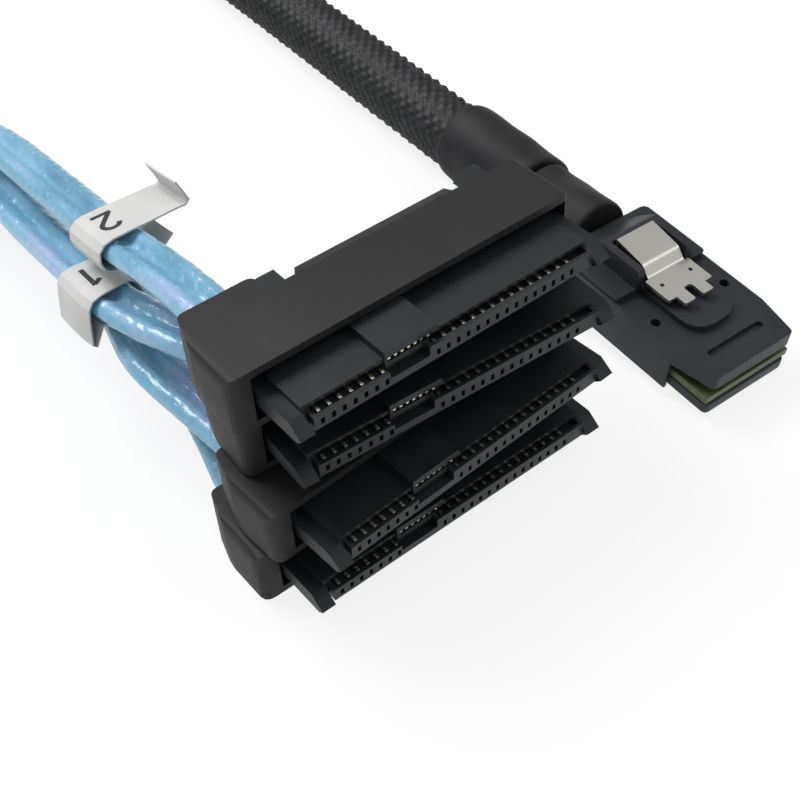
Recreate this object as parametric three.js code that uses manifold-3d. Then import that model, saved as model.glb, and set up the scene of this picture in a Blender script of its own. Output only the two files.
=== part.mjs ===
// Breakout cable: one latching plug, a sleeved trunk and four flat data cables,
// each ending in a drive connector. The four connectors lie stacked flat.
// Millimetres, +Z up. The origin is the middle of the lowest housing's bottom face,
// +X runs along its contact row and +Y points to the cables.
import * as THREE from "three";
import { mergeVertices } from "three/addons/utils/BufferGeometryUtils.js";
import Module from "manifold-3d";

const wasm = await Module();
wasm.setup();

// Clearance between neighbouring pieces, and the smaller one inside the connectors
const gap = 0.3;
const fine = 0.15;

// Contact rows: the signal contacts, the key and the power contacts, centred
const pitch = 1.27;
const signalCount = 7;
const powerCount = 15;
const keyPitches = 5;
const signalFirst = (-(signalCount + powerCount - 2 + keyPitches) * pitch) / 2;
const signalLast = signalFirst + (signalCount - 1) * pitch;
const powerFirst = signalLast + keyPitches * pitch;
const powerLast = powerFirst + (powerCount - 1) * pitch;
const contactThick = 0.25;
const contactWide = 0.34;
const contactFront = -0.75;
const railDeep = 0.4;

// Insulator: the blade that carries the contacts, in the housing's mouth
const bladeLeft = signalFirst - 1.525;
const bladeRight = powerLast + 3.025;
const bladeBottom = 2.85;
const bladeTop = 5.4;
const lipThick = 0.45;
const lowerFront = -1.22;
const signalEnd = signalLast + 0.405;
const powerStart = powerFirst - 1.045;
const signalWallTop = 4.5;
const powerWallTop = 4.8;
const barTop = 3.75;
const troughSide = 0.5;
const troughFloor = 4.2;
const troughFront = -0.8;
const troughDeep = 4.0;
const holeWide = 0.45;
const holeLow = 3.25;
const holeHigh = 4.0;
const holeDeep = 1.0;
const flangeFront = 9.0;

// Small port in the bump above the key
const portPitch = 0.8;
const portCount = 7;
const portContactWide = 0.35;
const portSlotHalf = ((portCount - 1) * portPitch + portContactWide) / 2 + fine;
const portSlotLow = 5.0;
const portSlotHigh = 5.55;
const portSlotDeep = 2.5;
const bumpLeft = signalEnd + 0.1;
const portMiddle = bumpLeft + 0.3 + portSlotHalf;
const bumpRight = portMiddle + portSlotHalf + 0.7;
const bumpTop = 6.3;
const bumpFront = -0.3;

// Guide arms at the two ends of the insulator
const armLeftWide = 1.6;
const armRightWide = 1.8;
const armLow = 2.8;
const armHigh = 4.75;
const armShoulder = -0.2;
const armTip = -2.0;
const armTipHigh = 3.4;
const armHeel = -1.3;

// Connector housing: the rear edge is the back of the main block
const mouthLeft = bladeLeft - armLeftWide - gap;
const mouthRight = bladeRight + armRightWide + gap;
const sideWall = 0.8;
const housingHalf = mouthRight + sideWall;
const housingFront = 5.1;
const housingBack = 13.7;
const housingHigh = 7.4;
const frontRound = 1.5;
const backRound = 2.2;
const topRound = 1.3;
const bottomRound = 0.6;
const wall = 0.9;
const backWall = 1.2;

// Block at the back left, where the data cable leaves
const exitLeft = -housingHalf + 1.5;
const exitWide = 9.1;
const exitRight = exitLeft + exitWide;
const exitBack = 16.3;
const exitRound = 1.1;

// Tabs of the insulator that stand out at the back, and the collar between them
const tabSide = 0.5;
const leftTabWide = 2.2;
const rightTabWide = 3.1;
const rightTabFrom = 2.4;
const tabLow = 5.1;
const tabHigh = 6.3;
const tabBack = 16.9;
const collarLeft = exitRight + leftTabWide + 2 * tabSide;
const collarLong = 21.0;
const collarRight = collarLeft + collarLong;
const collarDeep = 1.9;
const collarSlant = 1.2;
const collarTop = 7.1;
const collarEdge = 6.4;
const tabSpans = [
  [exitRight + tabSide, exitRight + tabSide + leftTabWide],
  [collarRight + rightTabFrom, collarRight + rightTabFrom + rightTabWide],
];

// Stack: where each connector lies, from the top one down, and its turn in degrees
const stackPitch = housingHigh + gap;
const places = [
  { x: 1.5, y: -7.3, turn: 0 },
  { x: 2.0, y: -7.35, turn: -3.5 },
  { x: 1.4, y: -10.36, turn: 3.1 },
  { x: 0, y: -(housingFront + housingBack) / 2, turn: 0 },
];

// Plug: its frame lies at the middle of the nose's top front edge, +Y to the cable
const plugAt = [40.3, -17.3, 6.7];
const plugTurn = -1.3;
const plugPitch = 5.5;
const plugRoll = 2.2;
const plugHalf = 7.75;
const noseHalf = 6.6;
const bendAt = 6.0;
const plugLong = 26.4;
const plugBottom = -6.2;
const noseThick = 2.0;
const gripFrom = 15.7;
const gripHalf = 7.6;
const gripTop = 0.85;
const gripRound = 1.0;
const cardTop = -3.3;
const cardThick = 1.0;
const cardHalf = 7.1;
const cardFront = 0.2;
const cardBack = 12.0;
const lowerNoseHalf = 6.9;
const noseRound = 0.8;
const bossHalf = 3.9;
const bossTop = 0.8;
const bossFront = 6.1;
const bossRound = 3.2;
const dotX = 6.0;
const dotY = 10.7;
const dotRadius = 0.65;
const dotDeep = 1.0;
const slotHalf = 4.6;
const slotY = 3.3;
const slotHalfWide = 0.5;
const slotDeep = 0.5;

// Spring latch on the plug: a sheet with two hooks, a press plate and a root
const sheet = 0.45;
const pocketSide = 0.4;
const hookLow = 1.5;
const hookTip = 9.7;
const hookShoulder = 11.2;
const hookBack = gripFrom - pocketSide;
const prongOut = 2.45;
const prongIn = 0.65;
const notchDeep = 0.7;
const earHalf = 3.75;
const earHole = 0.5;
const earHoleX = 2.45;
const earHoleY = 13.65;
const pressHalf = 3.1;
const pressRise = hookBack + 0.3;
const pressBend = pressRise + 1.3;
const bendHigh = hookLow + 1.3;
const pressBack = 20.9;
const pressHigh = 3.5;
const rootLow = -1.0;

// Raised frame round the press plate, with a ramp behind it
const channelHalf = pressHalf + 0.5;
const frameHalf = channelHalf + 1.1;
const frameTop = 3.5;
const frameBack = pressBack + sheet + pocketSide + 0.6;
const rampBack = 25.5;

// Cable parts: the neck, the heat-shrinks, the braided sleeve and the data cables
const neckRadius = 5.2;
const shrinkRadius = 5.75;
const sleeveRadius = 5.0;
const breakoutRadius = 6.5;
const cableHalfWide = 3.0;
const cableHalfHigh = 1.3;

const neckRoute = [
  [40.93, 9.75, 7.7],
  [41.05, 12.0, 7.7],
  [42.1, 16.6, 6.6],
  [42.95, 20.2, 5.9],
  [43.22, 22.5, 5.8],
];
const shrinkRoute = [
  [43.3, 22.9, 5.8],
  [44.1, 31.3, 5.8],
  [44.85, 39.7, 5.8],
];
const sleeveRoute = [
  [44.87, 40.0, 5.1],
  [46.0, 58.0, 5.1],
  [48.1, 91.0, 5.1],
  [49.8, 125.0, 5.1],
  [51.0, 155.0, 5.1],
  [50.5, 180.0, 5.1],
  [38.5, 207.0, 5.1],
  [11.5, 218.5, 5.1],
  [-15.5, 207.0, 5.1],
  [-27.5, 180.0, 5.1],
  [-27.2, 160.0, 5.5],
  [-25.2, 147.0, 6.2],
  [-24.5, 135.1, 6.6],
];
const breakoutRoute = [
  [-24.47, 134.7, 6.6],
  [-24.1, 123.0, 6.65],
  [-24.0, 112.0, 6.65],
];
const cableRoutes = [
  [
    [-14.0, 9.4, 26.7],
    [-14.0, 12.0, 26.7],
    [-13.8, 16.0, 26.2],
    [-13.5, 22.3, 25.0],
    [-13.4, 32.4, 23.0],
    [-12.6, 49.4, 20.0],
    [-12.3, 68.9, 17.0],
    [-14.6, 82.0, 15.0],
    [-19.2, 97.0, 12.6],
    [-23.4, 108.0, 11.2],
    [-24.0, 111.3, 11.0],
  ],
  [
    [-12.6, 10.7, 19.1],
    [-12.9, 13.0, 19.1],
    [-13.9, 16.6, 18.9],
    [-15.6, 22.9, 18.2],
    [-16.6, 30.5, 17.3],
    [-16.2, 39.0, 16.0],
    [-15.6, 52.8, 14.0],
    [-14.9, 68.0, 12.6],
    [-16.0, 82.0, 11.0],
    [-20.0, 97.0, 9.4],
    [-23.6, 108.0, 8.3],
    [-24.0, 111.3, 8.15],
  ],
  [
    [-15.1, 5.9, 11.4],
    [-15.3, 8.5, 11.4],
    [-15.9, 13.7, 11.9],
    [-16.6, 23.7, 12.6],
    [-14.8, 32.5, 12.4],
    [-12.9, 48.2, 10.6],
    [-12.2, 68.1, 8.8],
    [-14.4, 82.0, 7.4],
    [-19.1, 97.0, 6.0],
    [-23.6, 108.0, 5.4],
    [-24.0, 111.3, 5.3],
  ],
  [
    [-15.5, 7.3, 3.7],
    [-15.3, 9.5, 3.7],
    [-14.3, 14.0, 5.0],
    [-12.6, 23.7, 7.6],
    [-11.4, 32.5, 8.4],
    [-10.6, 48.2, 6.8],
    [-10.8, 68.1, 5.0],
    [-14.0, 82.0, 3.9],
    [-19.1, 97.0, 2.9],
    [-23.6, 108.0, 2.5],
    [-24.0, 111.3, 2.45],
  ],
];

// Paper labels folded round the two upper data cables, each with a loose end
const labelLong = 8;
const labelThick = 0.35;
const labelClear = 0.5;
const labelWide = cableHalfWide + labelClear;
const labelHigh = cableHalfHigh + labelClear;
const labels = [
  {
    name: "label_upper",
    cable: 0,
    at: 0.232,
    endFrom: [labelWide - 0.8, labelHigh],
    endTo: [labelWide + 5.9, labelHigh + 0.4],
  },
  {
    name: "label_lower",
    cable: 1,
    at: 0.225,
    endFrom: [-labelWide - labelThick, 0.5],
    endTo: [-labelWide - 1.0, -4.3],
  },
];

const radians = THREE.MathUtils.degToRad;

const paint = {
  housing: { color: 0x343032, roughness: 0.55 },
  insulator: { color: 0x24292b, roughness: 0.45 },
  contact: { color: 0xc9b27a, roughness: 0.3, metalness: 1 },
  plug: { color: 0x2b2f33, roughness: 0.45 },
  card: { color: 0x8f9a5c, roughness: 0.5 },
  latch: { color: 0xd9d6cc, roughness: 0.3, metalness: 1 },
  rubber: { color: 0x1d1d1f, roughness: 0.6 },
  sleeve: { color: 0x222226, roughness: 0.7 },
  cable: { color: 0x6fa8d4, roughness: 0.3 },
  label: { color: 0xe2e0da, roughness: 0.6 },
};

function mesh(name, geometry, look) {
  const made = new THREE.Mesh(geometry, new THREE.MeshStandardMaterial(paint[look]));
  made.name = name;
  return made;
}

// A closed geometry as a solid that can be joined and cut
function solid(geometry) {
  const bare = geometry.clone();
  bare.deleteAttribute("normal");
  bare.deleteAttribute("uv");
  const merged = mergeVertices(bare, 1e-4);
  return new wasm.Manifold(
    new wasm.Mesh({
      numProp: 3,
      vertProperties: new Float32Array(merged.attributes.position.array),
      triVerts: new Uint32Array(merged.index.array),
    }),
  );
}

function geometryOf(piece) {
  const cut = piece.getMesh();
  const geometry = new THREE.BufferGeometry();
  geometry.setAttribute("position", new THREE.BufferAttribute(new Float32Array(cut.vertProperties), 3));
  geometry.setIndex(new THREE.BufferAttribute(new Uint32Array(cut.triVerts), 1));
  const flat = geometry.toNonIndexed();
  flat.computeVertexNormals();
  return flat;
}

// A box between two corners
function box(x0, x1, y0, y1, z0, z1) {
  const geometry = new THREE.BoxGeometry(x1 - x0, y1 - y0, z1 - z0);
  geometry.translate((x0 + x1) / 2, (y0 + y1) / 2, (z0 + z1) / 2);
  return solid(geometry);
}

// A closed outline with round corners; each corner is x, y and its radius
function outline(corners) {
  const shape = new THREE.Shape();
  const count = corners.length;
  for (let i = 0; i < count; i += 1) {
    const [x, y, radius] = corners[i];
    const here = new THREE.Vector2(x, y);
    const before = new THREE.Vector2(...corners[(i + count - 1) % count].slice(0, 2));
    const after = new THREE.Vector2(...corners[(i + 1) % count].slice(0, 2));
    const back = before.sub(here).normalize();
    const ahead = after.sub(here).normalize();
    const opening = Math.acos(THREE.MathUtils.clamp(back.dot(ahead), -1, 1));
    const reach = radius / Math.tan(opening / 2);
    const start = here.clone().addScaledVector(back, reach);
    const end = here.clone().addScaledVector(ahead, reach);
    if (i === 0) {
      shape.moveTo(start.x, start.y);
    } else {
      shape.lineTo(start.x, start.y);
    }
    if (radius > 0) {
      shape.quadraticCurveTo(here.x, here.y, end.x, end.y);
    }
  }
  shape.closePath();
  return shape;
}

// An outline in the XY plane made solid between two heights
function slab(shape, z0, z1, curveSegments = 4) {
  const geometry = new THREE.ExtrudeGeometry(shape, { depth: z1 - z0, bevelEnabled: false, curveSegments });
  geometry.translate(0, 0, z0);
  return solid(geometry);
}

// A side outline (back to front, up) made solid between two x values
function sideways(shape, x0, x1, curveSegments = 4) {
  const geometry = new THREE.ExtrudeGeometry(shape, { depth: x1 - x0, bevelEnabled: false, curveSegments });
  geometry.applyMatrix4(
    new THREE.Matrix4().makeBasis(
      new THREE.Vector3(0, 1, 0),
      new THREE.Vector3(0, 0, 1),
      new THREE.Vector3(1, 0, 0),
    ),
  );
  geometry.translate(x0, 0, 0);
  return solid(geometry);
}
// An end-on outline (left to right, up) made solid between two y values
function lengthways(shape, y0, y1, curveSegments = 4) {
  const geometry = new THREE.ExtrudeGeometry(shape, { depth: y1 - y0, bevelEnabled: false, curveSegments });
  geometry.rotateX(Math.PI / 2);
  geometry.translate(0, y1, 0);
  return solid(geometry);
}
function disc(x, y, radius, z0, z1, sides = 12) {
  const geometry = new THREE.CylinderGeometry(radius, radius, z1 - z0, sides);
  geometry.rotateX(Math.PI / 2);
  geometry.translate(x, y, (z0 + z1) / 2);
  return solid(geometry);
}

// Centres of a row of contacts
function row(first, count, step) {
  return Array.from({ length: count }, (unused, i) => first + i * step);
}

function housing() {
  const block = outline([
    [-housingHalf, housingFront, frontRound],
    [housingHalf, housingFront, frontRound],
    [housingHalf, housingBack, frontRound],
    [exitRight, housingBack, 0],
    [exitRight - 0.2, exitBack, exitRound],
    [exitLeft, exitBack, exitRound],
    [-housingHalf + 0.3, housingBack - 1.4, backRound],
    [-housingHalf, housingBack - 3.2, 0],
  ]);
  const front = outline([
    [-housingHalf, 0, bottomRound],
    [housingHalf, 0, bottomRound],
    [housingHalf, housingHigh, topRound],
    [-housingHalf, housingHigh, topRound],
  ]);
  const collar = outline([
    [collarLeft, housingBack - 0.5, 0],
    [collarRight, housingBack - 0.5, 0],
    [collarRight, housingBack + collarDeep, 0],
    [collarLeft + collarSlant, housingBack + collarDeep, 0],
    [collarLeft, housingBack, 0],
  ]);
  const collarSide = outline([
    [housingBack - 1, wall, 0],
    [housingBack + collarDeep, wall, 0],
    [housingBack + collarDeep, collarEdge, 0],
    [housingBack, collarTop, 0],
    [housingBack - 1, collarTop, 0],
  ]);
  let body = slab(block, 0, housingHigh).intersect(lengthways(front, housingFront - 1, exitBack + 1));
  body = body.add(slab(collar, wall, housingHigh).intersect(sideways(collarSide, collarLeft, collarRight)));
  body = body.subtract(
    box(mouthLeft, mouthRight, housingFront - 1, housingBack - backWall, wall, housingHigh - wall),
  );
  for (const [left, right] of tabSpans) {
    body = body.subtract(
      box(left - fine, right + fine, flangeFront, tabBack + 1, tabLow - fine, tabHigh + fine),
    );
  }
  return body;
}

function guideArm(left, right) {
  const side = outline([
    [flangeFront + 1, armLow, 0],
    [flangeFront + 1, armHigh, 0],
    [armShoulder, armHigh, 0],
    [armTip, armTipHigh, 0],
    [armHeel, armLow, 0],
  ]);
  return sideways(side, left, right);
}

function insulator() {
  const bladeBack = flangeFront + 1;
  let body = box(bladeLeft, bladeRight, 0, bladeBack, bladeBottom, bladeTop);
  body = body.add(box(signalFirst - 1, signalEnd, lowerFront, 1, bladeBottom, signalWallTop));
  body = body.add(box(signalEnd - 0.1, powerStart + 0.1, lowerFront, 1, bladeBottom, barTop));
  body = body.add(box(powerStart, bladeRight, lowerFront, 1, bladeBottom, powerWallTop));
  body = body.add(box(bumpLeft, bumpRight, bumpFront, housingFront + 2, bladeBottom + 1.5, bumpTop));
  body = body.add(guideArm(mouthLeft + gap, bladeLeft + 0.1));
  body = body.add(guideArm(bladeRight - 0.1, mouthRight - gap));
  body = body.add(
    box(
      mouthLeft + gap,
      mouthRight - gap,
      flangeFront,
      housingBack - backWall - gap,
      wall + gap,
      housingHigh - wall - gap,
    ),
  );
  for (const [left, right] of tabSpans) {
    body = body.add(box(left, right, flangeFront + 1, tabBack, tabLow, tabHigh));
  }
  const trough = [
    [signalFirst - troughSide, signalEnd],
    [powerFirst - troughSide, bladeRight - troughSide],
  ];
  for (const [left, right] of trough) {
    body = body.subtract(box(left, right, troughFront, troughDeep, troughFloor, bladeTop - lipThick));
    body = body.subtract(box(left, right, troughFront, 0, troughFloor, bladeTop));
  }
  body = body.subtract(
    box(
      portMiddle - portSlotHalf,
      portMiddle + portSlotHalf,
      bumpFront - 1,
      portSlotDeep,
      portSlotLow,
      portSlotHigh,
    ),
  );
  const holes = [...row(signalFirst, signalCount, pitch), ...row(powerFirst, powerCount, pitch)];
  for (const x of holes) {
    body = body.subtract(
      box(x - holeWide / 2, x + holeWide / 2, lowerFront - 1, lowerFront + holeDeep, holeLow, holeHigh),
    );
  }
  return body;
}

// A row of contact tongues on one rail
function contacts(centres, wide, front, rail, low) {
  const first = centres[0] - wide / 2;
  const last = centres[centres.length - 1] + wide / 2;
  let body = box(first, last, rail, rail + railDeep, low, low + contactThick + 0.1);
  for (const x of centres) {
    body = body.add(box(x - wide / 2, x + wide / 2, front, rail + railDeep / 2, low, low + contactThick));
  }
  return body;
}

// One drive connector with its pieces numbered
function connector(number) {
  const group = new THREE.Group();
  const railAt = troughDeep - railDeep - fine;
  const portRail = portSlotDeep - railDeep - fine;
  const signal = row(signalFirst, signalCount, pitch);
  const power = row(powerFirst, powerCount, pitch);
  const port = row(portMiddle - (portPitch * (portCount - 1)) / 2, portCount, portPitch);
  const low = troughFloor + fine;
  group.add(mesh(`housing_${number}`, geometryOf(housing()), "housing"));
  group.add(mesh(`insulator_${number}`, geometryOf(insulator()), "insulator"));
  group.add(
    mesh(
      `signal_contacts_${number}`,
      geometryOf(contacts(signal, contactWide, contactFront, railAt, low)),
      "contact",
    ),
  );
  group.add(
    mesh(
      `power_contacts_${number}`,
      geometryOf(contacts(power, contactWide, contactFront, railAt, low)),
      "contact",
    ),
  );
  group.add(
    mesh(
      `port_contacts_${number}`,
      geometryOf(contacts(port, portContactWide, bumpFront + fine, portRail, portSlotLow + 0.1)),
      "contact",
    ),
  );
  return group;
}

function upperShell() {
  const base = outline([
    [-plugHalf, bendAt, 1],
    [-noseHalf, 0, noseRound],
    [noseHalf, 0, noseRound],
    [plugHalf, bendAt, 1],
    [plugHalf, plugLong, gripRound],
    [-plugHalf, plugLong, gripRound],
  ]);
  const grip = outline([
    [-gripHalf, gripFrom, 0.5],
    [gripHalf, gripFrom, 0.5],
    [gripHalf, plugLong, gripRound],
    [-gripHalf, plugLong, gripRound],
  ]);
  const boss = outline([
    [-bossHalf, gripFrom + 1, 0],
    [-bossHalf, bossFront, bossRound],
    [bossHalf, bossFront, bossRound],
    [bossHalf, gripFrom + 1, 0],
  ]);
  const frame = outline([
    [gripFrom, -1, 0],
    [rampBack, -1, 0],
    [rampBack, gripTop, 0],
    [frameBack, frameTop, 0.8],
    [gripFrom, frameTop, 0.4],
  ]);
  const slot = outline([
    [-slotHalf, slotY - slotHalfWide, slotHalfWide * 0.9],
    [slotHalf, slotY - slotHalfWide, slotHalfWide * 0.9],
    [slotHalf, slotY + slotHalfWide, slotHalfWide * 0.9],
    [-slotHalf, slotY + slotHalfWide, slotHalfWide * 0.9],
  ]);
  const pocketHalf = cardHalf + 0.2;
  let body = slab(base, plugBottom, 0);
  body = body.add(slab(grip, -1, gripTop));
  body = body.add(slab(boss, -1, bossTop));
  body = body.add(sideways(frame, -frameHalf, frameHalf));
  body = body.subtract(slab(slot, -slotDeep, 1));
  for (const side of [-1, 1]) {
    body = body.subtract(disc(side * dotX, dotY, dotRadius, -dotDeep, 1));
  }
  // Below the nose, and the pocket of the card and the lower shell, open below
  body = body.subtract(box(-plugHalf - 1, plugHalf + 1, -1, bendAt, plugBottom - 1, -noseThick));
  body = body.subtract(
    box(-pocketHalf, pocketHalf, bendAt - 1, cardBack + gap, plugBottom - 1, cardTop + 0.2),
  );
  // Channel of the press plate, and the deeper pocket of its root
  const channelBack = pressBack + sheet + pocketSide;
  body = body.subtract(box(-channelHalf, channelHalf, gripFrom - 1, channelBack, bossTop, frameTop + 1));
  body = body.subtract(
    box(-channelHalf, channelHalf, pressBack - pocketSide, channelBack, rootLow - pocketSide, frameTop),
  );
  return body;
}

function lowerShell() {
  const nose = outline([
    [-lowerNoseHalf, 0, noseRound],
    [lowerNoseHalf, 0, noseRound],
    [lowerNoseHalf, cardBack, 0],
    [-lowerNoseHalf, cardBack, 0],
  ]);
  return slab(nose, plugBottom, cardTop - cardThick - gap);
}

// The latch: hook plate with ears, rising press plate and the root in the grip
function latch() {
  const hooks = outline([
    [-prongOut, hookTip, 0.3],
    [-prongIn, hookTip, 0.3],
    [-prongIn, hookShoulder + notchDeep, 0.5],
    [prongIn, hookShoulder + notchDeep, 0.5],
    [prongIn, hookTip, 0.3],
    [prongOut, hookTip, 0.3],
    [prongOut, hookShoulder, 0],
    [earHalf, hookShoulder, 0.3],
    [earHalf, hookBack, 0.3],
    [-earHalf, hookBack, 0.3],
    [-earHalf, hookShoulder, 0.3],
    [-prongOut, hookShoulder, 0],
  ]);
  const under = [
    [hookBack - 0.6, hookLow, 0],
    [pressRise, hookLow, 0.7],
    [pressBend, bendHigh, 1.2],
    [pressBack + sheet, pressHigh, 0],
  ];
  const over = under.map(([y, z, radius]) => [y - radius * 0.2, z + sheet, radius]).reverse();
  let body = slab(hooks, hookLow, hookLow + sheet);
  for (const side of [-1, 1]) {
    const x = side * earHoleX;
    body = body.subtract(
      box(
        x - earHole / 2,
        x + earHole / 2,
        earHoleY - earHole / 2,
        earHoleY + earHole / 2,
        hookLow - 1,
        hookLow + 1,
      ),
    );
  }
  body = body.add(sideways(outline([...under, ...over]), -pressHalf, pressHalf));
  body = body.add(
    box(-pressHalf, pressHalf, pressBack, pressBack + sheet, rootLow, pressHigh + sheet / 2),
  );
  return body;
}

function plug() {
  const group = new THREE.Group();
  group.position.set(...plugAt);
  group.rotation.set(radians(plugPitch), radians(plugRoll), radians(plugTurn), "ZXY");
  const card = box(-cardHalf, cardHalf, cardFront, cardBack, cardTop - cardThick, cardTop);
  group.add(mesh("plug_upper_shell", geometryOf(upperShell()), "plug"));
  group.add(mesh("plug_lower_shell", geometryOf(lowerShell()), "plug"));
  group.add(mesh("paddle_card", geometryOf(card), "card"));
  group.add(mesh("latch", geometryOf(latch()), "latch"));
  return group;
}

// A route as a smooth curve whose frames stay level: the first axis points up
function curve(route) {
  const path = new THREE.CatmullRomCurve3(route.map((point) => new THREE.Vector3(...point)));
  path.computeFrenetFrames = (segments) => {
    const frames = { tangents: [], normals: [], binormals: [] };
    for (let i = 0; i <= segments; i += 1) {
      const along = path.getTangentAt(i / segments);
      const across = new THREE.Vector3().crossVectors(along, new THREE.Vector3(0, 0, 1)).normalize();
      frames.tangents.push(along);
      frames.normals.push(new THREE.Vector3().crossVectors(across, along));
      frames.binormals.push(across);
    }
    return frames;
  };
  return path;
}

// A tube along a route: its section is an ellipse, the first half size pointing up
function tube(route, halfHigh, halfWide, sides, steps) {
  const section = new THREE.Shape();
  for (let i = 0; i < sides; i += 1) {
    const angle = (2 * Math.PI * (i + 0.5)) / sides;
    const x = halfHigh * Math.cos(angle);
    const y = halfWide * Math.sin(angle);
    if (i === 0) {
      section.moveTo(x, y);
    } else {
      section.lineTo(x, y);
    }
  }
  section.closePath();
  return new THREE.ExtrudeGeometry(section, { steps, extrudePath: curve(route), bevelEnabled: false });
}

// A label: a folded band round the cable and its loose end
function label({ name, cable, at, endFrom, endTo }) {
  const outer = labelWide + labelThick;
  const outerHigh = labelHigh + labelThick;
  const ring = outline([
    [-outer, -outerHigh, 0.6],
    [outer, -outerHigh, 0.6],
    [outer, outerHigh, 0.6],
    [-outer, outerHigh, 0.6],
  ]);
  const hole = outline([
    [-labelWide, -labelHigh, 0.4],
    [labelWide, -labelHigh, 0.4],
    [labelWide, labelHigh, 0.4],
    [-labelWide, labelHigh, 0.4],
  ]);
  const start = new THREE.Vector2(...endFrom);
  const end = new THREE.Vector2(...endTo);
  const aside = end.clone().sub(start).normalize().multiplyScalar(labelThick);
  aside.set(-aside.y, aside.x);
  const loose = new THREE.Shape([start, end, end.clone().add(aside), start.clone().add(aside)]);
  let body = slab(ring, 0, labelLong, 3);
  body = body.subtract(slab(hole, -1, labelLong + 1, 3));
  body = body.add(slab(loose, 0, labelLong));
  const path = curve(cableRoutes[cable]);
  const along = path.getTangentAt(at).negate();
  const across = new THREE.Vector3().crossVectors(new THREE.Vector3(0, 0, 1), along).normalize();
  const up = new THREE.Vector3().crossVectors(along, across);
  const made = mesh(name, geometryOf(body), "label");
  const turn = new THREE.Matrix4().makeBasis(across, up, along);
  made.quaternion.setFromRotationMatrix(turn);
  made.position.copy(path.getPointAt(at)).addScaledVector(along, -labelLong / 2);
  return made;
}

const group = new THREE.Group();

places.forEach(({ x, y, turn }, i) => {
  const placed = connector(i + 1);
  placed.position.set(x, y, (places.length - 1 - i) * stackPitch);
  placed.rotation.z = radians(turn);
  group.add(placed);
});

group.add(plug());
group.add(mesh("plug_neck", tube(neckRoute, neckRadius, neckRadius, 12, 3), "rubber"));
group.add(mesh("plug_heat_shrink", tube(shrinkRoute, shrinkRadius, shrinkRadius, 12, 2), "rubber"));
group.add(mesh("trunk_sleeve", tube(sleeveRoute, sleeveRadius, sleeveRadius, 12, 24), "sleeve"));
group.add(mesh("breakout_heat_shrink", tube(breakoutRoute, breakoutRadius, breakoutRadius, 12, 2), "rubber"));
cableRoutes.forEach((route, i) => {
  group.add(mesh(`data_cable_${i + 1}`, tube(route, cableHalfHigh, cableHalfWide, 8, 10), "cable"));
});
labels.forEach((each) => group.add(label(each)));

export default group;
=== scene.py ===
"""Breakout cable on a pale floor: a latching plug, a braided trunk, flat data cables and
a stack of drive connectors.

Lengths in routes, profiles and sections are millimetres, turned into metres by MM.
"""
import math

import bmesh
import bpy
import numpy as np
from mathutils import Matrix, Vector


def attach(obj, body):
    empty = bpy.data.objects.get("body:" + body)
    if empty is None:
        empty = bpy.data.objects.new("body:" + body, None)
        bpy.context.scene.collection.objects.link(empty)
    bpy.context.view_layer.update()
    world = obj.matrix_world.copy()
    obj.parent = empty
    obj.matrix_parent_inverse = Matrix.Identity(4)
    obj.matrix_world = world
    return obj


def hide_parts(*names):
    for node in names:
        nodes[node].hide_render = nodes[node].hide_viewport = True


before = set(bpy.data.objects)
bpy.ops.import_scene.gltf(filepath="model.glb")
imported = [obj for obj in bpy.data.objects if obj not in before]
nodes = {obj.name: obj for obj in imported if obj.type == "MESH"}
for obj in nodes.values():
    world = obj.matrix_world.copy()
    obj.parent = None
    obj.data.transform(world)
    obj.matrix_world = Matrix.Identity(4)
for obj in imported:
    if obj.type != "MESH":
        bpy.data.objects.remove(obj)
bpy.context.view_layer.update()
MM = 0.001
FIXED = "cable"


# Camera: place, turn and lens fitted to the contact rows

SENSOR_WIDE = 36
LENS = 58.05
CAMERA_AT = (-57.319, -78.958, 113.040)
CAMERA_RIGHT = (0.77782, -0.62705, -0.04254)
CAMERA_DOWN = (-0.47273, -0.53911, -0.69705)
CAMERA_FORWARD = (0.41416, 0.56229, -0.71576)


def make_camera():
    data = bpy.data.cameras.new("Camera")
    data.sensor_width = SENSOR_WIDE
    data.lens = LENS
    data.clip_start = 0.01
    data.clip_end = 20
    camera = bpy.data.objects.new("Camera", data)
    axes = (Vector(CAMERA_RIGHT), -Vector(CAMERA_DOWN), -Vector(CAMERA_FORWARD))
    turn = Matrix(axes).transposed().to_4x4()
    camera.matrix_world = Matrix.Translation(Vector(CAMERA_AT) * MM) @ turn
    bpy.context.scene.collection.objects.link(camera)
    bpy.context.scene.camera = camera


make_camera()


# Materials

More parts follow.
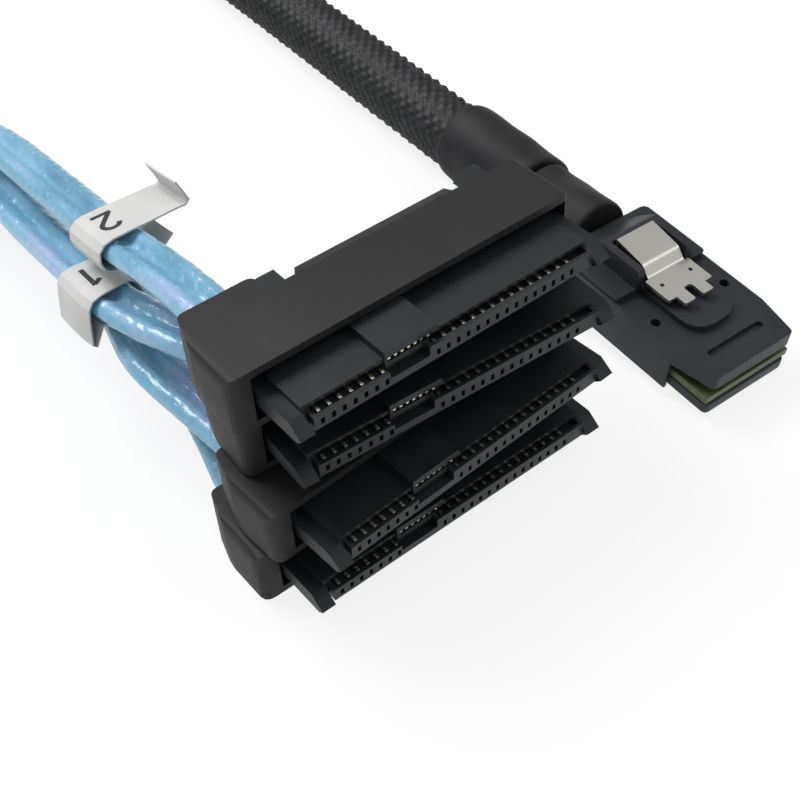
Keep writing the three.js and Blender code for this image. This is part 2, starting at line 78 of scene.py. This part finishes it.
class Paint:
    """A principled material and short ways to add detail to it."""

    def __init__(self, name, color, roughness, metallic=0.0):
        self.material = bpy.data.materials.new(name)
        self.material.use_nodes = True
        self.nodes = self.material.node_tree.nodes
        self.links = self.material.node_tree.links
        self.shader = self.nodes["Principled BSDF"]
        self.shader.inputs["Base Color"].default_value = (*color, 1)
        self.shader.inputs["Roughness"].default_value = roughness
        self.shader.inputs["Metallic"].default_value = metallic
        self.last_normal = None

    def place(self, kind="Object", scale=(1, 1, 1)):
        mapping = self.nodes.new("ShaderNodeMapping")
        mapping.inputs["Scale"].default_value = scale
        source = self.nodes.new("ShaderNodeTexCoord")
        self.links.new(source.outputs[kind], mapping.inputs["Vector"])
        return mapping.outputs["Vector"]

    def noise(self, scale, detail=3.0, rough=0.5, stretch=(1, 1, 1), kind="Object"):
        texture = self.nodes.new("ShaderNodeTexNoise")
        texture.inputs["Scale"].default_value = scale
        texture.inputs["Detail"].default_value = detail
        texture.inputs["Roughness"].default_value = rough
        self.links.new(self.place(kind, stretch), texture.inputs["Vector"])
        return texture.outputs["Fac"]

    def ramp(self, value, stops):
        ramp = self.nodes.new("ShaderNodeValToRGB")
        elements = ramp.color_ramp.elements
        elements[0].position = stops[0][0]
        elements[0].color = (*stops[0][1], 1)
        elements[1].position = stops[-1][0]
        elements[1].color = (*stops[-1][1], 1)
        for position, color in stops[1:-1]:
            elements.new(position).color = (*color, 1)
        self.links.new(value, ramp.inputs["Fac"])
        return ramp.outputs["Color"]

    def color(self, value, stops):
        self.links.new(self.ramp(value, stops), self.shader.inputs["Base Color"])

    def gloss(self, value, low, high):
        spread = self.nodes.new("ShaderNodeMapRange")
        spread.inputs["To Min"].default_value = low
        spread.inputs["To Max"].default_value = high
        self.links.new(value, spread.inputs["Value"])
        self.links.new(spread.outputs["Result"], self.shader.inputs["Roughness"])

    def bump(self, value, distance, strength=1.0):
        bump = self.nodes.new("ShaderNodeBump")
        bump.inputs["Distance"].default_value = distance
        bump.inputs["Strength"].default_value = strength
        self.links.new(value, bump.inputs["Height"])
        if self.last_normal is not None:
            self.links.new(self.last_normal, bump.inputs["Normal"])
        self.last_normal = bump.outputs["Normal"]
        self.links.new(self.last_normal, self.shader.inputs["Normal"])


def make_paints():
    paints = {}
    housing = Paint("Housing plastic", (0.045, 0.039, 0.042), 0.5)
    housing.color(
        housing.noise(60, 5),
        [(0.3, (0.0145, 0.0135, 0.0145)), (0.75, (0.0225, 0.0205, 0.0225))],
    )
    housing.gloss(housing.noise(180, 4), 0.5, 0.68)
    housing.bump(housing.noise(5200, 2), 0.00002, 0.5)
    housing.bump(housing.noise(500, 3), 0.00004, 0.35)
    housing.shader.inputs["Specular IOR Level"].default_value = 0.35
    paints["housing"] = housing.material

    insulator = Paint("Insulator plastic", (0.022, 0.027, 0.029), 0.42)
    insulator.color(
        insulator.noise(300, 4),
        [(0.3, (0.0095, 0.012, 0.0135)), (0.75, (0.016, 0.0195, 0.0215))],
    )
    insulator.gloss(insulator.noise(240, 3), 0.4, 0.55)
    insulator.bump(insulator.noise(4000, 2), 0.00001, 0.4)
    insulator.shader.inputs["Specular IOR Level"].default_value = 0.4
    paints["insulator"] = insulator.material

    contact = Paint("Contact metal", (0.78, 0.72, 0.6), 0.25, 1.0)
    contact.gloss(contact.noise(2500, 3), 0.18, 0.4)
    paints["contact"] = contact.material

    plug = Paint("Plug plastic", (0.028, 0.032, 0.038), 0.45)
    plug.color(
        plug.noise(120, 5),
        [(0.3, (0.014, 0.017, 0.021)), (0.75, (0.023, 0.027, 0.032))],
    )
    plug.gloss(plug.noise(300, 3), 0.42, 0.58)
    plug.bump(plug.noise(5000, 2), 0.000015, 0.5)
    plug.shader.inputs["Specular IOR Level"].default_value = 0.4
    paints["plug"] = plug.material

    card = Paint("Card edge", (0.2, 0.23, 0.1), 0.45)
    card.color(
        card.noise(600, 3),
        [(0.3, (0.04, 0.065, 0.025)), (0.7, (0.13, 0.14, 0.065))],
    )
    card.bump(card.noise(1800, 3), 0.00002, 0.4)
    paints["card"] = card.material

    latch = Paint("Latch steel", (0.78, 0.76, 0.71), 0.3, 1.0)
    latch.gloss(latch.noise(900, 4, 0.6, (6, 1, 1)), 0.24, 0.42)
    latch.bump(latch.noise(2600, 3, 0.6, (8, 1, 1)), 0.00001, 0.35)
    paints["latch"] = latch.material

    shrink = Paint("Heat-shrink", (0.022, 0.022, 0.025), 0.6)
    shrink.color(
        shrink.noise(130, 5),
        [(0.3, (0.007, 0.007, 0.008)), (0.75, (0.014, 0.013, 0.016))],
    )
    shrink.gloss(shrink.noise(160, 4), 0.55, 0.72)
    shrink.bump(shrink.noise(420, 4), 0.00008, 0.5)
    shrink.bump(shrink.noise(2600, 3), 0.00003, 0.5)
    shrink.shader.inputs["Specular IOR Level"].default_value = 0.35
    paints["shrink"] = shrink.material

    braid = Paint("Braid yarn", (0.035, 0.033, 0.038), 0.5)
    braid.color(
        braid.noise(380, 6, 0.7),
        [
            (0.35, (0.002, 0.0025, 0.003)),
            (0.48, (0.008, 0.009, 0.009)),
            (0.56, (0.013, 0.012, 0.015)),
            (0.7, (0.03, 0.026, 0.034)),
        ],
    )
    braid.gloss(braid.noise(900, 3), 0.4, 0.72)
    braid.shader.inputs["Specular IOR Level"].default_value = 0.4
    braid.bump(braid.noise(2600, 3, 0.6), 0.00008, 0.6)
    paints["braid"] = braid.material

    film = Paint("Cable film", (0.25, 0.5, 0.78), 0.25)
    film.color(
        film.noise(240, 5, 0.62, (1, 0.14, 1)),
        [
            (0.25, (0.07, 0.22, 0.38)),
            (0.42, (0.15, 0.42, 0.6)),
            (0.55, (0.25, 0.52, 0.73)),
            (0.66, (0.36, 0.5, 0.78)),
            (0.82, (0.52, 0.74, 0.86)),
        ],
    )
    film.gloss(film.noise(600, 3), 0.14, 0.34)
    film.bump(film.noise(700, 5, 0.65, (1, 0.5, 1)), 0.0004, 0.7)
    film.shader.inputs["Coat Weight"].default_value = 0.5
    film.shader.inputs["Coat Roughness"].default_value = 0.12
    paints["film"] = film.material

    paper = Paint("Label paper", (0.76, 0.75, 0.72), 0.5)
    paper.color(paper.noise(150, 4), [(0.3, (0.62, 0.62, 0.61)), (0.7, (0.7, 0.7, 0.69))])
    paper.bump(paper.noise(700, 3), 0.00006, 0.4)
    paints["paper"] = paper.material

    ink = Paint("Label ink", (0.012, 0.012, 0.014), 0.5)
    ink.gloss(ink.noise(900, 3), 0.4, 0.6)
    paints["ink"] = ink.material
    return paints


PAINTS = make_paints()


def own(obj, paint, replaced=(), body=FIXED):
    """Finishes a piece: its paint, its body and the solids that it stands for."""
    obj.data.materials.clear()
    obj.data.materials.append(PAINTS[paint])
    if obj.name not in bpy.context.scene.collection.objects:
        bpy.context.scene.collection.objects.link(obj)
    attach(obj, body)
    if replaced:
        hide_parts(*replaced)
    return obj


# Routes and swept pieces

SHRINK_ROUTE = [(43.3, 22.9, 5.8), (44.1, 31.3, 5.8), (44.85, 39.7, 5.8)]
NECK_ROUTE = [
    (40.93, 9.75, 7.7),
    (41.05, 12.0, 7.7),
    (42.1, 16.6, 6.6),
    (42.95, 20.2, 5.9),
    (43.22, 22.5, 5.8),
]
SLEEVE_ROUTE = [
    (44.87, 40.0, 5.1),
    (46.0, 58.0, 5.1),
    (48.1, 91.0, 5.1),
    (49.8, 125.0, 5.1),
    (51.0, 155.0, 5.1),
    (50.5, 180.0, 5.1),
    (38.5, 207.0, 5.1),
    (11.5, 218.5, 5.1),
    (-15.5, 207.0, 5.1),
    (-27.5, 180.0, 5.1),
    (-27.2, 160.0, 5.5),
    (-25.2, 147.0, 6.2),
    (-24.5, 135.1, 6.6),
]
BREAKOUT_ROUTE = [(-24.47, 134.7, 6.6), (-24.1, 123.0, 6.65), (-24.0, 112.0, 6.65)]
CABLE_ROUTES = [
    [
        (-14.0, 9.4, 26.7),
        (-14.0, 12.0, 26.7),
        (-13.8, 16.0, 26.2),
        (-13.5, 22.3, 25.0),
        (-13.4, 32.4, 23.0),
        (-12.6, 49.4, 20.0),
        (-12.3, 68.9, 17.0),
        (-14.6, 82.0, 15.0),
        (-19.2, 97.0, 12.6),
        (-23.4, 108.0, 11.2),
        (-24.0, 111.3, 11.0),
    ],
    [
        (-12.6, 10.7, 19.1),
        (-12.9, 13.0, 19.1),
        (-13.9, 16.6, 18.9),
        (-15.6, 22.9, 18.2),
        (-16.6, 30.5, 17.3),
        (-16.2, 39.0, 16.0),
        (-15.6, 52.8, 14.0),
        (-14.9, 68.0, 12.6),
        (-16.0, 82.0, 11.0),
        (-20.0, 97.0, 9.4),
        (-23.6, 108.0, 8.3),
        (-24.0, 111.3, 8.15),
    ],
    [
        (-15.1, 5.9, 11.4),
        (-15.3, 8.5, 11.4),
        (-15.9, 13.7, 11.9),
        (-16.6, 23.7, 12.6),
        (-14.8, 32.5, 12.4),
        (-12.9, 48.2, 10.6),
        (-12.2, 68.1, 8.8),
        (-14.4, 82.0, 7.4),
        (-19.1, 97.0, 6.0),
        (-23.6, 108.0, 5.4),
        (-24.0, 111.3, 5.3),
    ],
    [
        (-15.5, 7.3, 3.7),
        (-15.3, 9.5, 3.7),
        (-14.3, 14.0, 5.0),
        (-12.6, 23.7, 7.6),
        (-11.4, 32.5, 8.4),
        (-10.6, 48.2, 6.8),
        (-10.8, 68.1, 5.0),
        (-14.0, 82.0, 3.9),
        (-19.1, 97.0, 2.9),
        (-23.6, 108.0, 2.5),
        (-24.0, 111.3, 2.45),
    ],
]


def run_along(line):
    """The length from a line's first point to each of its points."""
    return np.concatenate([[0], np.cumsum(np.linalg.norm(np.diff(line, axis=0), axis=1))])


def smooth(route, step):
    """Evenly spaced points, in metres, on the smooth curve through a route."""
    points = [np.array(point) * MM for point in route]
    points = [2 * points[0] - points[1], *points, 2 * points[-1] - points[-2]]
    dense = []
    for i in range(1, len(points) - 2):
        four = points[i - 1 : i + 3]
        knots = [0.0]
        for a, b in zip(four, four[1:]):
            knots.append(knots[-1] + math.sqrt(np.linalg.norm(b - a)))
        for t in np.linspace(knots[1], knots[2], 40, endpoint=False):
            line = list(four)
            for level in (1, 2):
                line = [
                    blend_points(line[k], line[k + 1], knots[k], knots[k + level], t)
                    for k in range(len(line) - 1)
                ]
            dense.append(blend_points(line[0], line[1], knots[1], knots[2], t))
    dense.append(points[-2])
    dense = np.array(dense)
    run = run_along(dense)
    even = np.linspace(0, run[-1], max(3, round(run[-1] / step) + 1))
    return np.stack([np.interp(even, run, dense[:, k]) for k in range(3)], axis=1), run[-1]


def blend_points(a, b, start, end, t):
    return a * (end - t) / (end - start) + b * (t - start) / (end - start)


def level_frames(path):
    """The up and the sideways direction at each point, kept level."""
    along = np.gradient(path, axis=0)
    along /= np.linalg.norm(along, axis=1)[:, None]
    across = np.cross(along, (0, 0, 1))
    across /= np.linalg.norm(across, axis=1)[:, None]
    return np.cross(across, along), across


def swept(name, path, up_part, across_part):
    """A closed tube: up_part and across_part are offsets, one row for each path point."""
    up, across = level_frames(path)
    rows, sides = up_part.shape
    points = path[:, None] + up[:, None] * up_part[..., None]
    points = points + across[:, None] * across_part[..., None]
    base = np.arange(rows - 1)[:, None] * sides + np.arange(sides)[None]
    turned = np.arange(rows - 1)[:, None] * sides + (np.arange(sides)[None] + 1) % sides
    quads = np.stack([base, turned, turned + sides, base + sides], axis=-1).reshape(-1, 4)
    last = (rows - 1) * sides
    faces = [*quads.tolist(), list(range(sides))[::-1], list(range(last, last + sides))]
    mesh = bpy.data.meshes.new(name)
    mesh.from_pydata(points.reshape(-1, 3).tolist(), [], faces)
    mesh.polygons.foreach_set("use_smooth", [True] * len(faces))
    mesh.polygons[len(faces) - 1].use_smooth = False
    mesh.polygons[len(faces) - 2].use_smooth = False
    obj = bpy.data.objects.new(name, mesh)
    fix_normals(mesh)
    return obj


def fix_normals(mesh):
    work = bmesh.new()
    work.from_mesh(mesh)
    bmesh.ops.recalc_face_normals(work, faces=work.faces)
    work.to_mesh(mesh)
    work.free()


def round_section(rows, sides, radius):
    angle = np.linspace(0, 2 * math.pi, sides, endpoint=False)
    radius = np.broadcast_to(radius, (rows, sides))
    return radius * np.cos(angle), radius * np.sin(angle)


# Braid: radius of its ground, ribbons each way, length of one turn, height of a ribbon
SLEEVE_RADIUS = 4.55
RIBBONS = 16
BRAID_LEAD = 33.0
BRAID_RELIEF = 0.5


def make_sleeve():
    path, length = smooth(SLEEVE_ROUTE, 0.42 * MM)
    rows, sides = len(path), 96
    s = np.linspace(0, length / MM, rows)[:, None]
    angle = np.linspace(0, 1, sides, endpoint=False)[None]
    one = angle * RIBBONS + s * RIBBONS / BRAID_LEAD
    other = angle * RIBBONS - s * RIBBONS / BRAID_LEAD
    over = (np.floor(one) + np.floor(other)) % 2 == 0
    across = np.where(over, one % 1, other % 1)
    along = np.where(over, other % 1, one % 1)
    height = BRAID_RELIEF * np.sin(math.pi * across) ** 0.8 * np.sin(math.pi * along) ** 0.9
    height = height * (0.85 + 0.15 * np.sin(2.3 * s + 9 * math.pi * angle) * np.sin(0.9 * s))
    up_part, across_part = round_section(rows, sides, (SLEEVE_RADIUS + height) * MM)
    sleeve = swept("Braided_sleeve", path, up_part, across_part)
    own(sleeve, "braid", ["trunk_sleeve"])
    return sleeve, path, length


# Heat-shrinks and the neck: radii, how their ends round off, and room for their lumps
NECK_RADIUS = 5.2
SHRINK_RADIUS = 5.75
BREAKOUT_RADIUS = 6.5
END_ROUND = 0.3
END_REACH = 0.22
LUMP_ROOM = 0.15


def make_shrink(name, node, route, radius, seed):
    """A shrunk tube with soft ends and the faint lumps of what lies under it."""
    path, length = smooth(route, 0.35 * MM)
    rows, sides = len(path), 64
    s = np.linspace(0, length / MM, rows)[:, None]
    angle = np.linspace(0, 2 * math.pi, sides, endpoint=False)[None]
    edge = np.minimum(s, length / MM - s)
    rounding = END_ROUND * np.exp(-edge / END_REACH)
    lumps = 0.10 * np.sin(3 * angle + seed) + 0.07 * np.sin(5 * angle + s * 0.35 + seed)
    lumps = lumps + 0.05 * np.sin(2 * angle - s * 0.9)
    size = radius - LUMP_ROOM + lumps - rounding
    up_part, across_part = round_section(rows, sides, size * MM)
    tube = swept(name, path, up_part, across_part)
    return own(tube, "shrink", [node])


# Data cable section: two round lobes and the valley between them
FILM_HALF_WIDE = 2.9
LOBE_AT = 1.55
LOBE_RADIUS = 1.32
LOBE_EDGE = 1.35
VALLEY_HALF_WIDE = 1.45
VALLEY_DEEP = 0.75
FOLD_DEEP = 0.09


def make_data_cable(number, route):
    """A pair of round shielded wires side by side in a wrap of crinkled film."""
    path, length = smooth(route, 0.45 * MM)
    rows, sides = len(path), 56
    s = np.linspace(0, length / MM, rows)[:, None]
    angle = np.linspace(0, 2 * math.pi, sides, endpoint=False)[None]
    side = FILM_HALF_WIDE * np.sin(angle) + 0 * s
    reach = np.clip(np.abs(side) - LOBE_AT, 0, LOBE_EDGE)
    lobe = np.sqrt(np.clip(LOBE_RADIUS**2 - reach**2, 0.02, None))
    inward = np.clip(np.abs(side) / VALLEY_HALF_WIDE, 0, 1)
    valley = VALLEY_DEEP * np.cos(inward * math.pi / 2) ** 1.6
    crinkle = 0.07 * np.sin(2.1 * s + 1.7 * side + number)
    crinkle = crinkle * np.sin(0.83 * s - 1.1 * side + 2 * number)
    crinkle = crinkle + 0.05 * np.sin(4.3 * s - 2.6 * side) * np.sin(0.5 * s + number)
    fold = np.sin(1.05 * s + 2.4 * np.abs(side) + 1.3 * number + np.sin(0.37 * s))
    crinkle = crinkle - FOLD_DEEP * np.exp(-(fold**2) / 0.015)
    blunt = np.sign(np.cos(angle)) * np.abs(np.cos(angle)) ** 0.12
    high = (lobe - valley + crinkle) * blunt
    cable = swept(f"Film_cable_{number}", path, high * MM, side * MM)
    own(cable, "film", [f"data_cable_{number}"])
    return cable, path, length


sleeve, sleeve_path, sleeve_length = make_sleeve()
neck = make_shrink("Shrunk_neck", "plug_neck", NECK_ROUTE, NECK_RADIUS, 1.0)
plug_shrink = make_shrink(
    "Shrunk_tube_at_plug", "plug_heat_shrink", SHRINK_ROUTE, SHRINK_RADIUS, 2.0
)
breakout = make_shrink(
    "Shrunk_tube_at_breakout", "breakout_heat_shrink", BREAKOUT_ROUTE, BREAKOUT_RADIUS, 3.0
)
data_cables = [make_data_cable(i + 1, route) for i, route in enumerate(CABLE_ROUTES)]


# Moulded pieces: the solids' own shapes with flat faces joined and edges rounded

def dress(node, title, paint, width, body=FIXED, segments=3, angle=38):
    """A piece made from a solid's shape, with its edges rounded."""
    mesh = nodes[node].data.copy()
    work = bmesh.new()
    work.from_mesh(mesh)
    bmesh.ops.remove_doubles(work, verts=work.verts, dist=2e-6)
    bmesh.ops.dissolve_limit(
        work, angle_limit=math.radians(1.5), verts=work.verts, edges=work.edges
    )
    for face in work.faces:
        face.smooth = True
    for edge in work.edges:
        if edge.is_manifold:
            edge.smooth = edge.calc_face_angle(0) < math.radians(angle)
    work.to_mesh(mesh)
    work.free()
    obj = bpy.data.objects.new(title, mesh)
    obj.matrix_world = nodes[node].matrix_world.copy()
    if width > 0:
        bevel = obj.modifiers.new("Round edges", "BEVEL")
        bevel.width = width * MM
        bevel.segments = segments
        bevel.limit_method = "ANGLE"
        bevel.angle_limit = math.radians(angle)
        bevel.harden_normals = True
        bevel.use_clamp_overlap = True
    return own(obj, paint, [node], body)


for number in (1, 2, 3, 4):
    dress(f"housing_{number}", f"Housing_shell_{number}", "housing", 0.35)
    dress(f"insulator_{number}", f"Insulator_blade_{number}", "insulator", 0.07)
    for kind in ("signal", "power", "port"):
        dress(
            f"{kind}_contacts_{number}",
            f"{kind.capitalize()}_tongues_{number}",
            "contact",
            0.03,
            segments=2,
        )

dress("plug_upper_shell", "Plug_shell_upper", "plug", 0.25)
dress("plug_lower_shell", "Plug_shell_lower", "plug", 0.25)
dress("paddle_card", "Card_edge", "card", 0.05)
dress("latch", "Spring_latch", "latch", 0.1, body="latch")


# Labels: folded paper bands with a loose end, and a plain number on each

LABEL_LONG = 8.0
LABEL_THICK = 0.2
UPPER_AT = 0.232
LOWER_AT = 0.225
STROKE_HALF = 0.3
INK_SUNK = 0.02
INK_HIGH = 0.04


def label_frame(path, at, spread):
    """Places along a cable round the label's middle, with their up and across."""
    run = run_along(path)
    spots = at * run[-1] + np.asarray(spread) * MM
    centre = np.stack([np.interp(spots, run, path[:, k]) for k in range(3)], axis=1)
    ahead = np.stack([np.interp(spots + MM, run, path[:, k]) for k in range(3)], axis=1)
    behind = np.stack([np.interp(spots - MM, run, path[:, k]) for k in range(3)], axis=1)
    along = ahead - behind
    along /= np.linalg.norm(along, axis=1)[:, None]
    across = np.cross(along, (0, 0, 1))
    across /= np.linalg.norm(across, axis=1)[:, None]
    return centre, np.cross(across, along), across


def on_profile(profile, reach):
    """The point and the outward normal at a length along a profile."""
    line = np.array(profile, dtype=float)
    run = run_along(line)
    before, here, after = (
        np.array([np.interp(reach + d, run, line[:, k]) for k in (0, 1)]) for d in (-0.3, 0, 0.3)
    )
    tangent = (after - before) / np.linalg.norm(after - before)
    return here, np.array([-tangent[1], tangent[0]])


def make_label(name, node, path, at, profile):
    """A paper strip whose profile (across, up) is carried along the cable."""
    steps = 16
    centre, up, across = label_frame(path, at, np.linspace(-LABEL_LONG / 2, LABEL_LONG / 2, steps))
    line = np.array(profile, dtype=float)
    tangent = np.gradient(line, axis=0)
    tangent /= np.linalg.norm(tangent, axis=1)[:, None]
    normal = np.stack([-tangent[:, 1], tangent[:, 0]], axis=1) * LABEL_THICK / 2
    closed = np.concatenate([line + normal, (line - normal)[::-1]]) * MM
    count = len(closed)
    points = (
        centre[:, None] + across[:, None] * closed[None, :, :1] + up[:, None] * closed[None, :, 1:]
    )
    faces = []
    for i in range(steps - 1):
        for k in range(count):
            a = i * count + k
            b = i * count + (k + 1) % count
            faces.append((a, b, b + count, a + count))
    faces.append(tuple(range(count))[::-1])
    faces.append(tuple(range((steps - 1) * count, steps * count)))
    mesh = bpy.data.meshes.new(name)
    mesh.from_pydata(points.reshape(-1, 3).tolist(), [], faces)
    fix_normals(mesh)
    obj = bpy.data.objects.new(name, mesh)
    return own(obj, "paper", [node])


def make_digit(name, strokes, path, at, profile, middle, shift):
    """A printed digit: thin strokes laid on the paper's outer side.

    middle is the digit's place along the profile, shift its place along the cable.
    """
    work = bmesh.new()
    lift = LABEL_THICK / 2
    for stroke in strokes:
        line = np.array(stroke, dtype=float)
        tangent = np.gradient(line, axis=0)
        tangent /= np.linalg.norm(tangent, axis=1)[:, None]
        aside = np.stack([-tangent[:, 1], tangent[:, 0]], axis=1) * STROKE_HALF
        rows = []
        for edge in (line + aside, line - aside):
            centre, up, across = label_frame(path, at, edge[:, 1] + shift)
            for high in (lift - INK_SUNK, lift + INK_HIGH):
                row = []
                for i, (u, _) in enumerate(edge):
                    spot, normal = on_profile(profile, middle + u)
                    place = spot + normal * high
                    row.append(centre[i] + across[i] * place[0] * MM + up[i] * place[1] * MM)
                rows.append([work.verts.new(point) for point in row])
        low_a, high_a, low_b, high_b = rows
        last = len(line) - 1
        for i in range(last):
            for a, b in ((high_a, high_b), (high_b, low_b), (low_b, low_a), (low_a, high_a)):
                work.faces.new((a[i], a[i + 1], b[i + 1], b[i]))
        for i in (0, last):
            work.faces.new((low_a[i], high_a[i], high_b[i], low_b[i]))
    bmesh.ops.recalc_face_normals(work, faces=work.faces)
    mesh = bpy.data.meshes.new(name)
    work.to_mesh(mesh)
    work.free()
    return own(bpy.data.objects.new(name, mesh), "ink")


# Profiles go round the cable from below, over its top, to the loose end
UPPER_PROFILE = [
    (5.5, -0.6),
    (3.9, -1.7),
    (1.0, -1.85),
    (-2.6, -1.75),
    (-3.4, -1.2),
    (-3.65, -0.2),
    (-3.4, 0.9),
    (-2.6, 1.6),
    (-1.5, 1.85),
    (0.5, 1.9),
    (2.5, 1.9),
    (4.5, 1.9),
    (6.5, 1.95),
    (8.0, 1.9),
    (8.5, 2.3),
    (8.1, 3.4),
    (7.5, 4.9),
]
LOWER_PROFILE = [
    (3.4, 0.6),
    (3.6, -0.4),
    (3.2, -1.4),
    (1.0, -1.8),
    (-2.4, -1.9),
    (-3.9, -4.0),
    (-4.3, -3.6),
    (-3.75, -0.6),
    (-3.4, 0.8),
    (-2.7, 1.6),
    (-1.5, 1.85),
    (0.5, 1.85),
    (2.2, 1.8),
    (3.0, 1.3),
]


def arc(centre, radius, start, end, steps):
    """Points on an arc; the angles are in degrees."""
    return [
        (
            centre[0] + radius * math.cos(math.radians(start + (end - start) * i / steps)),
            centre[1] + radius * math.sin(math.radians(start + (end - start) * i / steps)),
        )
        for i in range(steps + 1)
    ]


# Digits in millimetres: right and up of the digit, its middle at the origin
DIGIT_TWO = [arc((0, 1.1), 1.0, 170, -40, 12) + [(-1.1, -1.9)], [(-1.25, -1.9), (1.2, -1.9)]]
DIGIT_ONE = [[(0.2, -2.1), (0.2, 2.1)], [(0.2, 2.0), (-0.8, 1.2)]]


def turned(strokes, degrees):
    """Strokes turned about the origin."""
    c, s = math.cos(math.radians(degrees)), math.sin(math.radians(degrees))
    return [[(x * c - y * s, x * s + y * c) for x, y in stroke] for stroke in strokes]


upper_path = data_cables[0][1]
lower_path = data_cables[1][1]
make_label("Paper_label_upper", "label_upper", upper_path, UPPER_AT, UPPER_PROFILE)
make_label("Paper_label_lower", "label_lower", lower_path, LOWER_AT, LOWER_PROFILE)
make_digit(
    "Printed_2", turned(DIGIT_TWO, 180), upper_path, UPPER_AT, UPPER_PROFILE, middle=15.2, shift=0.3
)
make_digit(
    "Printed_1", turned(DIGIT_ONE, 180), lower_path, LOWER_AT, LOWER_PROFILE, middle=18.5, shift=0.3
)


# Floor, backdrop and light

GLOW_SHARE = 0.72
GLOW = 1.16


def backdrop_material():
    """White to the camera and in reflections, with the object's shadow kept."""
    paint = Paint("Floor", (0.62, 0.62, 0.62), 0.8)
    nodes_, links = paint.nodes, paint.links
    path = nodes_.new("ShaderNodeLightPath")
    first = nodes_.new("ShaderNodeMath")
    first.operation = "ADD"
    first.use_clamp = True
    links.new(path.outputs["Is Camera Ray"], first.inputs[0])
    links.new(path.outputs["Is Glossy Ray"], first.inputs[1])
    share = nodes_.new("ShaderNodeMath")
    share.operation = "MULTIPLY"
    share.inputs[1].default_value = GLOW_SHARE
    links.new(first.outputs[0], share.inputs[0])
    glow = nodes_.new("ShaderNodeEmission")
    glow.inputs["Strength"].default_value = GLOW
    mix = nodes_.new("ShaderNodeMixShader")
    links.new(share.outputs[0], mix.inputs["Fac"])
    links.new(paint.shader.outputs[0], mix.inputs[1])
    links.new(glow.outputs[0], mix.inputs[2])
    links.new(mix.outputs[0], nodes_["Material Output"].inputs["Surface"])
    return paint.material


FLOOR_HALF = 3.0
SKY_LIGHT = 0.45


def make_stage():
    mesh = bpy.data.meshes.new("Floor")
    half = FLOOR_HALF
    corners = [(-half, -half, 0), (half, -half, 0), (half, half, 0), (-half, half, 0)]
    mesh.from_pydata(corners, [], [(0, 1, 2, 3)])
    floor = bpy.data.objects.new("Floor", mesh)
    mesh.materials.append(backdrop_material())
    bpy.context.scene.collection.objects.link(floor)

    world = bpy.data.worlds.new("World")
    bpy.context.scene.world = world
    world.use_nodes = True
    sky = world.node_tree.nodes["Background"]
    sky.inputs["Color"].default_value = (1, 1, 1, 1)
    sky.inputs["Strength"].default_value = SKY_LIGHT
    # The camera sees the sky as pale as the floor
    links = world.node_tree.links
    path = world.node_tree.nodes.new("ShaderNodeLightPath")
    seen = world.node_tree.nodes.new("ShaderNodeMapRange")
    seen.inputs["To Min"].default_value = SKY_LIGHT
    seen.inputs["To Max"].default_value = 1.0
    links.new(path.outputs["Is Camera Ray"], seen.inputs["Value"])
    links.new(seen.outputs["Result"], sky.inputs["Strength"])


def area_light(name, place, target, size, power):
    data = bpy.data.lights.new(name, "AREA")
    data.shape = "SQUARE"
    data.size = size
    data.energy = power
    lamp = bpy.data.objects.new(name, data)
    spot = Vector(place)
    turn = (Vector(target) - spot).to_track_quat("-Z", "Y").to_matrix().to_4x4()
    lamp.matrix_world = Matrix.Translation(spot) @ turn
    bpy.context.scene.collection.objects.link(lamp)
    return lamp


make_stage()
area_light("Key light", (-0.15, 0.6, 0.8), (0, 0, 0), 0.45, 7.0)
area_light("Fill light", (0.5, -0.5, 0.7), (0, 0, 0), 0.5, 0.9)
bpy.context.scene.view_settings.view_transform = "Standard"
